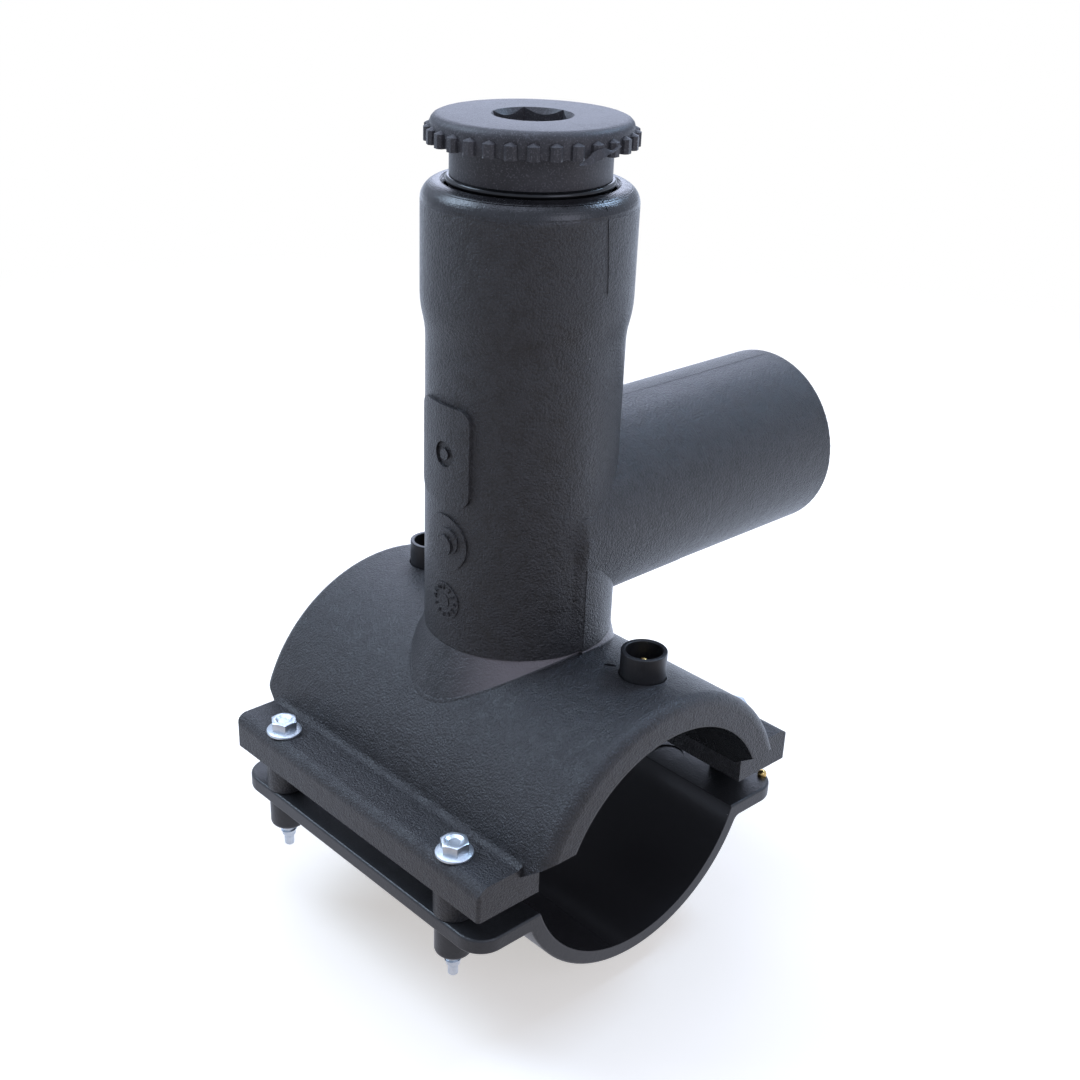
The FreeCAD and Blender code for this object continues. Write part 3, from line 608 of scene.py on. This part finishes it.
head = prism(head_flats, seat + 0.6, head_top)
crown = turned("crown", [(0.01, seat), (5.6, seat), (5.6, head_top - 0.8), (3.85, head_top),
                         (0.01, head_top)], sides=72)
carve(head, crown, "INTERSECT")
dish = turned("dish", [(0.01, head_top - 0.65), (1.9, head_top - 0.65), (2.95, head_top + 0.05),
                       (2.95, head_top + 0.8), (0.01, head_top + 0.8)], sides=48)
carve(head, dish)
soften(head, 0.14)
flange = turned("flange", [(0.01, seat), (head_flange_r, seat), (head_flange_r, seat + 0.8),
                           (4.1, seat + 1.5), (0.01, seat + 1.5)], sides=72)
soften(flange, 0.18)
shank = turned("shank", [(0.01, point_z), (1.3, point_z), (point_r, point_z + 0.4), (point_r, -26.7),
                         (shank_r, -25.9), (shank_r, -6.5), (shank_top_r, -6.0),
                         (shank_top_r, seat + 0.1), (0.01, seat + 0.1)], sides=40)
thread = helix("thread", root_r=2.15, crest_r=2.75, pitch=1.8, root_width=1.15, crest_width=0.18,
               low=-25.2, high=-7.0)
pattern = join("clamp_screw_pattern", head, flange, shank, thread)
dress(pattern, zinc)
for corner, (x, y) in screw_places.items():
    screw = pattern.copy()
    screw.data = pattern.data.copy()
    screw.name = "screw_" + corner
    screw.data.transform(Matrix.Translation((x * mm, y * mm, 0)))
    bpy.context.collection.objects.link(screw)
    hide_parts("clamp_screw_" + corner)
    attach(screw, "screw_" + corner)
bpy.data.objects.remove(pattern)


# Cutter
# A steel barrel threaded on the outside, with a hexagon socket on top and a toothed crown below that cuts
# the main and keeps the disc. It runs in the tower's guide.

cutter_low = 120.0
cutter_top = 164.0
crown_bore_r = 15.0
crown_r = 17.5
cutter_root_r = 18.7
cutter_crest_r = 19.9
cutter_groove_r = 17.1
cutter_groove_low = 158.1
cutter_groove_high = 161.1
key_flats = 20.8
notch_count = 8

steel, tree, shader, place = finish("oiled_steel", 0.3)
shader.inputs["Metallic"].default_value = 1.0
colour = grouped(tree, tone_drift, {"Vector": place, "Dark": (0.30, 0.30, 0.29, 1),
                                    "Light": (0.46, 0.46, 0.44, 1), "Patches": 160.0})
tree.links.new(colour, shader.inputs["Base Color"])
rings = grouped(tree, ring_marks, {"Vector": place, "Pitch": 0.3 * mm})
relief(tree, shader, rings, 0.03 * mm, 0.5)
dull = put(tree, "TexNoise", {"Vector": place, "Scale": 300.0, "Detail": 3.0}, out="Fac")
tree.links.new(reckon(tree, "MULTIPLY_ADD", dull, 0.25, 0.18), shader.inputs["Roughness"])

barrel = turned("barrel", [(crown_bore_r, cutter_low), (crown_r, cutter_low), (crown_r, cutter_low + 16.0),
                           (cutter_root_r, cutter_low + 16.4), (cutter_root_r, 157.4),
                           (cutter_crest_r, 157.8), (cutter_crest_r, cutter_groove_low),
                           (cutter_groove_r, cutter_groove_low), (cutter_groove_r, cutter_groove_high),
                           (cutter_crest_r, cutter_groove_high), (cutter_crest_r, 163.2),
                           (19.2, cutter_top), (0.01, cutter_top), (0.01, cutter_low + 26.0),
                           (crown_bore_r, cutter_low + 26.0), (crown_bore_r, cutter_low)], sides=96)
carve(barrel, prism(key_flats, cutter_top - 12.0, cutter_top + 2.0))
for count in range(notch_count):
    bpy.ops.object.select_all(action="DESELECT")
    bpy.ops.mesh.primitive_cylinder_add(vertices=3, radius=3.6 * mm, depth=8 * mm,
                                        location=(16.2 * mm, 0, (cutter_low - 0.4) * mm),
                                        rotation=(0, math.pi / 2, 0))
    notch = bpy.context.object
    bpy.ops.object.transform_apply(location=True, rotation=True, scale=True)
    notch.data.transform(Matrix.Rotation(count * 2 * math.pi / notch_count, 4, "Z"))
    carve(barrel, notch)
soften(barrel, 0.2)
thread = helix("cutter_thread", root_r=cutter_root_r - 0.2, crest_r=cutter_crest_r, pitch=4.0,
               root_width=2.6, crest_width=1.5, low=cutter_low + 19.0, high=155.0, steps=96)
cutter = join("tapping_cutter", barrel, thread)
dress(cutter, steel)
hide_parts("cutter")
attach(cutter, "cutter")


# Seal rings
# Black rubber O-rings with a satin skin: a wide one round the screw cap's neck, seen in the tower's
# mouth, and one in the groove near the cutter's top.

rubber, tree, shader, place = finish("seal_rubber", 0.2)
colour = grouped(tree, tone_drift, {"Vector": place, "Dark": (0.006, 0.006, 0.007, 1),
                                    "Light": (0.012, 0.012, 0.013, 1), "Patches": 200.0})
tree.links.new(colour, shader.inputs["Base Color"])
relief(tree, shader, grouped(tree, mould_grain, {"Vector": place, "Cells": 2400.0}), 0.02 * mm, 0.5)

for name, node, body, section_r in (("cap_seal_ring", "cap_o_ring", "cap_carrier", 1.1),
                                    ("cutter_seal_ring", "cutter_o_ring", "cutter_carrier", 1.4)):
    low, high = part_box(node)
    ring_r = high[0] - section_r * mm
    bpy.ops.object.select_all(action="DESELECT")
    bpy.ops.mesh.primitive_torus_add(major_segments=144, minor_segments=28, major_radius=ring_r,
                                     minor_radius=section_r * mm,
                                     location=(0, 0, (low[2] + high[2]) / 2))
    ring = bpy.context.object
    start_edit(ring)
    end_edit(ring, name, 60)
    dress(ring, rubber)
    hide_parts(node)
    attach(ring, body)


# Screw cap
# Moulded in black polyethylene with a matt skin: a toothed rim to grip, a plain neck, a threaded plug
# that is hollow below, and a hexagon socket for the key. A torn film of flash hangs from its rim.

rim_low = 210.0
rim_top = 217.5
rim_r = 29.3
rim_top_r = 29.0
neck_r = 23.75
plug_r = 22.9
plug_bore_r = 19.0
plug_low = 178.0
neck_low = 196.4
ring_groove_r = 21.6
ring_groove_low = 198.2
ring_groove_high = 200.6
hollow_top = 202.5

cap_skin, tree, shader, place = finish("cap_polyethylene", 0.5, specular=0.40)
colour = grouped(tree, tone_drift, {"Vector": place, "Dark": (0.0480, 0.0455, 0.0495, 1),
                                    "Light": (0.0700, 0.0665, 0.0715, 1), "Patches": 70.0})
scratches = grouped(tree, handling_marks, {"Vector": place, "Lines": 500.0})
colour = blend(tree, reckon(tree, "MULTIPLY", scratches, 0.4), colour, (0.07, 0.07, 0.07, 1))
# Bright specks in the cap's colour: painted glints in place of the grain's sparkle.
points = grouped(tree, painted_glints, {"Vector": place, "Cells": 2100.0})
colour = blend(tree, points, colour, (0.125, 0.119, 0.128, 1))
parts = put(tree, "SeparateXYZ", {0: place}, out=None)
from_scuff = distance(tree, reckon(tree, "ADD", parts[0], 19.6 * mm),
                      reckon(tree, "ADD", parts[1], 20.8 * mm))
torn = put(tree, "TexNoise", {"Vector": place, "Scale": 1500.0, "Detail": 3.0}, out="Fac")
scuff = all_of(tree, rise(tree, from_scuff, 3.2 * mm, 1.0 * mm), rise(tree, torn, 0.50, 0.58),
               rise(tree, parts[2], (rim_top - 2.4) * mm, (rim_top - 1.6) * mm))
colour = blend(tree, scuff, colour, (0.10, 0.10, 0.11, 1))
tree.links.new(colour, shader.inputs["Base Color"])
grain = grouped(tree, mould_grain, {"Vector": place, "Cells": 1500.0})
rings = grouped(tree, ring_marks, {"Vector": place, "Pitch": 0.5 * mm})
relief(tree, shader, reckon(tree, "MULTIPLY_ADD", rings, 0.12, grain), 0.12 * mm, 0.6)
tree.links.new(reckon(tree, "MULTIPLY_ADD", scratches, 0.15, 0.46), shader.inputs["Roughness"])

cap = turned("cap", [(plug_bore_r, plug_low), (plug_r - 0.5, plug_low), (plug_r, plug_low + 0.6),
                     (plug_r, neck_low - 0.8), (neck_r, neck_low), (neck_r, ring_groove_low),
                     (ring_groove_r, ring_groove_low), (ring_groove_r, ring_groove_high),
                     (neck_r, ring_groove_high), (neck_r, rim_low),
                     (rim_r - 0.3, rim_low), (rim_r, rim_low + 0.3), (rim_top_r + 0.35, rim_top - 2.2),
                     (rim_top_r + 0.05, rim_top - 1.35), (rim_top_r - 0.7, rim_top - 0.55),
                     (rim_top_r - 1.7, rim_top - 0.12), (rim_top_r - 2.7, rim_top), (11.5, rim_top),
                     (0.01, rim_top), (0.01, hollow_top), (plug_bore_r, hollow_top),
                     (plug_bore_r, plug_low)], sides=144)
carve(cap, prism(key_flats, rim_top - 11.5, rim_top + 0.5))
carve(cap, turned("countersink", [(0.01, rim_top - 2.1), (10.1, rim_top - 2.1), (11.9, rim_top + 0.02),
                                  (0.01, rim_top + 0.02), (0.01, rim_top - 2.1)]))

tooth_root_r = rim_top_r - 1.2
tooth_reach = 31.1
tooth_width = 3.6
tooth_height = 3.9
tooth_roof = 0.9
tooth_peak_r = 29.2
tooth_count = 30


def upright_outside(edge):
    """A test for the two upright edges at a tooth's outer side."""
    first, last = [tooth.data.vertices[at].co for at in edge.vertices]
    return abs(first.z - last.z) > 3 * mm and min(first.x, last.x) > (tooth_root_r + 1) * mm


teeth = []
bpy.context.tool_settings.mesh_select_mode = (False, True, False)
for count in range(tooth_count):
    bpy.ops.object.select_all(action="DESELECT")
    bpy.ops.mesh.primitive_cube_add(size=1, location=((tooth_root_r + tooth_reach) / 2 * mm, 0,
                                                      (rim_low + tooth_height / 2) * mm))
    tooth = bpy.context.object
    tooth.scale = ((tooth_reach - tooth_root_r) * mm, tooth_width * mm, tooth_height * mm)
    bpy.ops.object.transform_apply(location=True, rotation=True, scale=True)
    start_edit(tooth)
    pick(tooth, "edges", upright_outside)
    bpy.ops.mesh.bevel(offset=0.9 * mm, segments=1)
    pick(tooth, "polygons", lambda face: face.normal.z > 0.9)
    bpy.ops.mesh.extrude_region_move(TRANSFORM_OT_translate={"value": (0, 0, tooth_roof * mm)})
    bpy.ops.transform.resize(value=(0.04, 0.04, 1), center_override=(tooth_peak_r * mm, 0, 0))
    end_edit(tooth, "tooth")
    soften(tooth, 0.07, angle=25)
    tooth.data.transform(Matrix.Rotation(count * 2 * math.pi / tooth_count, 4, "Z"))
    teeth.append(tooth)
bpy.context.tool_settings.mesh_select_mode = (True, False, False)
carve(cap, join("teeth", *teeth), "UNION", "MANIFOLD")
thread = helix("cap_thread", root_r=plug_r - 0.2, crest_r=23.45, pitch=3.0, root_width=1.9,
               crest_width=1.0, low=180.5, high=193.5, steps=96)
cap = join("toothed_screw_cap", cap, thread)
bpy.ops.object.shade_smooth_by_angle(angle=math.radians(35))
dress(cap, cap_skin)
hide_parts("screw_cap")
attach(cap, "cap")

# The torn film of flash: its ragged upper edge, as (degrees round the cap, height over the rim's bottom).
film_edge = ((-109.0, -0.5), (-106.0, 0.2), (-104.5, 0.7), (-101.5, 2.2), (-97.5, 3.0), (-93.5, 3.1),
             (-90.7, 2.5), (-88.7, 2.3), (-85.0, 3.0), (-83.4, 3.7))
film_start = film_edge[0][0]
film_end = film_edge[-1][0]
film_foot = -0.75
film_foot_rise = 3.9
film_rises_from = -103.0
film_foot_r = 32.15
film_lean = 0.75
film_ripple = 0.12


def on_film(across, up):
    """The film's point, in millimetres: its foot climbs to meet the ragged edge at the film's end."""
    angle = film_start + across * (film_end - film_start)
    for here, there in zip(film_edge, film_edge[1:]):
        if here[0] <= angle <= there[0]:
            crest_painted_light = here[1] + (angle - here[0]) / (there[0] - here[0]) * (there[1] - here[1])
    risen = max(0.0, (angle - film_rises_from) / (film_end - film_rises_from))
    foot_level = film_foot + film_foot_rise * risen
    level = foot_level + up * max(crest_painted_light - foot_level, 0.15)
    out = film_foot_r - film_lean * up + film_ripple * math.sin(angle * 0.9)
    turn = math.radians(angle)
    return out * math.cos(turn), out * math.sin(turn), rim_low + level


film = wrapped("flash_film", 66, 5, 0.20, -1, on_film, 60)
dress(film, cap_skin)
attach(film, "cap")


# Terminals
# Each terminal is a thin-walled moulded cup, pushed into its pocket in the shell, with a brass pin in the
# middle that carries the welding current to the heating wire.

shroud_skin, tree, shader, place = finish("shroud_plastic", 0.34)
colour = grouped(tree, tone_drift, {"Vector": place, "Dark": (0.016, 0.016, 0.018, 1),
                                    "Light": (0.028, 0.028, 0.030, 1), "Patches": 120.0})
scratches = grouped(tree, handling_marks, {"Vector": place, "Lines": 700.0})
tree.links.new(blend(tree, reckon(tree, "MULTIPLY", scratches, 0.5), colour, (0.08, 0.08, 0.08, 1)),
               shader.inputs["Base Color"])
relief(tree, shader, grouped(tree, mould_grain, {"Vector": place, "Cells": 1800.0}), 0.05 * mm, 0.6)

brass, tree, shader, place = finish("brass", 0.25)
shader.inputs["Metallic"].default_value = 1.0
colour = grouped(tree, tone_drift, {"Vector": place, "Dark": (0.56, 0.36, 0.12, 1),
                                    "Light": (0.80, 0.58, 0.24, 1), "Patches": 500.0})
tree.links.new(colour, shader.inputs["Base Color"])
dull = put(tree, "TexNoise", {"Vector": place, "Scale": 600.0, "Detail": 3.0}, out="Fac")
tree.links.new(reckon(tree, "MULTIPLY_ADD", dull, 0.25, 0.14), shader.inputs["Roughness"])
relief(tree, shader, grouped(tree, mould_grain, {"Vector": place, "Cells": 1500.0}), 0.02 * mm, 0.5)

terminal_x = 6.1
terminal_y = 52.0
cup_low = 50.0
cup_floor = 52.0
cup_top = 64.1
cup_r = 7.3
stem_hole_r = 2.4
stem_low = 45.6
stem_r = 2.0
collar_low = 48.5
collar_r = 3.4
contact_r = 2.35
for end, way in (("front", -1), ("rear", 1)):
    to_terminal = Matrix.Translation((terminal_x * mm, way * terminal_y * mm, 0))
    cup = turned("cup", [(stem_hole_r, cup_low), (cup_r, cup_low), (cup_r, cup_top), (5.85, cup_top),
                         (5.8, cup_floor), (stem_hole_r, cup_floor), (stem_hole_r, cup_low)], sides=64)
    soften(cup, 0.28, angle=40, segments=3)
    cup.name = "terminal_cup_" + end
    cup.data.transform(to_terminal)
    dress(cup, shroud_skin)
    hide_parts("terminal_shroud_" + end)
    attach(cup, "saddle")
    pin = turned("pin", [(0.01, stem_low), (stem_r, stem_low), (stem_r, collar_low),
                         (collar_r, collar_low), (collar_r, cup_low), (stem_r, cup_low),
                         (stem_r, cup_floor), (contact_r, cup_floor), (contact_r, 58.9), (1.75, 59.5),
                         (1.45, 60.3), (1.15, 60.8), (0.7, 61.1), (0.01, 61.2)], sides=48)
    pin.name = "terminal_contact_" + end
    pin.data.transform(to_terminal)
    dress(pin, brass)
    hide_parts("terminal_pin_" + end)
    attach(pin, "saddle")


# Melt indicators
# Small eye-shaped plugs that the melt pushes up through the shell during the weld. At rest they lie just
# below its surface.

# Near-black plastic, made darker still than the shell as painted shade of the recess the plugs lie in.
indicator_painted_shade, tree, shader, place = finish("indicator_plastic_painted_shade", 0.4)
colour = grouped(tree, tone_drift, {"Vector": place, "Dark": (0.003, 0.003, 0.003, 1),
                                    "Light": (0.006, 0.006, 0.006, 1), "Patches": 300.0})
tree.links.new(colour, shader.inputs["Base Color"])
relief(tree, shader, grouped(tree, mould_grain, {"Vector": place, "Cells": 2000.0}), 0.04 * mm, 0.6)
for end in ("front", "rear"):
    dress(solids["melt_indicator_" + end], indicator_painted_shade)


# Brass stud
# A small brass pin pressed into the underclamp's flange.

dress(solids["brass_stud"], brass)


# Floor
# A plain white sweep that keeps the object's shadow. Seen in reflections it glows, brighter towards the
# back and to the right: a painted reflection. It lies low enough for the underclamp to come down its whole
# way.

clamp_travel = 9.0 * mm
floor_z = packed_box[0][2] - clamp_travel - 0.2 * mm
bpy.ops.object.select_all(action="DESELECT")
bpy.ops.mesh.primitive_plane_add(size=14, location=(0, 0, floor_z))
floor = bpy.context.object
floor.name = "floor"
paper, tree, shader, place = finish("white_paper", 0.9, specular=0.1)
colour = grouped(tree, tone_drift, {"Vector": place, "Dark": (0.93, 0.88, 0.82, 1),
                                    "Light": (0.95, 0.90, 0.84, 1), "Patches": 3.0})
tree.links.new(colour, shader.inputs["Base Color"])
parts = put(tree, "SeparateXYZ", {0: place}, out=None)
towards_back = reckon(tree, "ADD", reckon(tree, "MULTIPLY", parts[0], 0.68),
                      reckon(tree, "MULTIPLY", parts[1], 0.73))
turned_away = rise(tree, towards_back, -0.30, 0.15)
# Strength of the floor's glow in reflections: a painted reflection, brighter towards the back and to the
# right.
painted_reflection_glow = reckon(tree, "MULTIPLY_ADD", turned_away, 0.70, 0.44)
painted_reflection_glow = reckon(tree, "MULTIPLY_ADD", rise(tree, parts[0], 0.05, 0.30), 0.55, painted_reflection_glow)
rays = put(tree, "LightPath", out=None)
far = rise(tree, distance(tree, parts[0], parts[1]), 0.35, 0.9)
lift = put(tree, "Emission", {"Color": (1.0, 0.965, 0.93, 1), "Strength": 0.50})
white = put(tree, "Emission", {"Color": (1.0, 1.0, 1.0, 1), "Strength": 1.0})
near = put(tree, "AddShader", {0: shader.outputs[0], 1: lift})
seen = put(tree, "MixShader", {0: far, 1: near, 2: white})
# Tint of that painted reflection: warm at the front, cool at the back.
painted_reflection_tint = blend(tree, turned_away, (1.0, 0.92, 0.94, 1), (0.73, 0.82, 1.0, 1))
mirrored = put(tree, "Emission", {"Color": painted_reflection_tint, "Strength": painted_reflection_glow})
shown = put(tree, "MixShader", {0: rays["Is Camera Ray"], 1: shader.outputs[0], 2: seen})
shown = put(tree, "MixShader", {0: any_of(tree, rays["Is Glossy Ray"], rays["Is Transmission Ray"]),
                                1: shown, 2: mirrored})
tree.links.new(shown, tree.nodes["Material Output"].inputs["Surface"])
dress(floor, paper)


# Light
# A white room with soft lamps above, behind and in front of the object, and one at its right. Both the
# lamps and the room's reflections are a little cool.

world = bpy.data.worlds.new("studio")
bpy.context.scene.world = world
world.use_nodes = True
tree = world.node_tree
rays = put(tree, "LightPath", out=None)
seen = any_of(tree, rays["Is Camera Ray"], rays["Is Transmission Ray"])
mirrored = reckon(tree, "MULTIPLY", rays["Is Glossy Ray"], 0.80)
level = any_of(tree, seen, mirrored, 0.30)
back = tree.nodes["Background"]
tree.links.new(blend(tree, seen, (0.72, 0.81, 1.0, 1), (1.0, 1.0, 1.0, 1)), back.inputs["Color"])
tree.links.new(level, back.inputs["Strength"])

for name, spot, size, power, colour in (
        ("overhead", (0.0, 0.15, 1.25), 0.8, 4.2, (0.72, 0.79, 1.0)),
        ("back_left", (-0.42, 0.74, 0.98), 0.56, 7.4, (0.64, 0.80, 1.0)),
        ("back_right", (0.72, 0.74, 0.62), 0.7, 3.7, (0.72, 0.78, 1.0)),
        ("right", (0.88, -0.11, 0.98), 0.26, 4.6, (0.50, 0.71, 1.0)),
        ("front", (-0.05, -1.05, 0.62), 0.60, 1.8, (0.80, 0.82, 1.0))):
    lamp = bpy.data.lights.new(name, "AREA")
    lamp.size = size
    lamp.energy = power
    lamp.color = colour
    stand = bpy.data.objects.new(name, lamp)
    aim = Vector((0.0, 0.0, 0.09)) - Vector(spot)
    stand.matrix_world = Matrix.Translation(spot) @ aim.to_track_quat("-Z", "Y").to_matrix().to_4x4()
    bpy.context.collection.objects.link(stand)


# Camera
# Half a metre away, a little above the object, on the tower's blind side.

right = Vector((0.74260741, -0.66915153, 0.02775722))
up = Vector((0.28573264, 0.35403841, 0.89051314))
back = Vector((-0.60571536, -0.65337051, 0.45410998))
stands_at = Vector((-305.503, -326.901, 290.630)) * mm
eye = bpy.data.cameras.new("camera")
eye.sensor_width = 36.0
eye.lens = 50.754
eye.shift_x = 0.0265
eye.shift_y = 0.0556
eye.clip_start = 0.01
camera = bpy.data.objects.new("camera", eye)
camera.matrix_world = Matrix.Translation(stands_at) @ Matrix((right, up, back)).transposed().to_4x4()
bpy.context.collection.objects.link(camera)
bpy.context.scene.camera = camera
bpy.context.scene.view_settings.view_transform = "Standard"
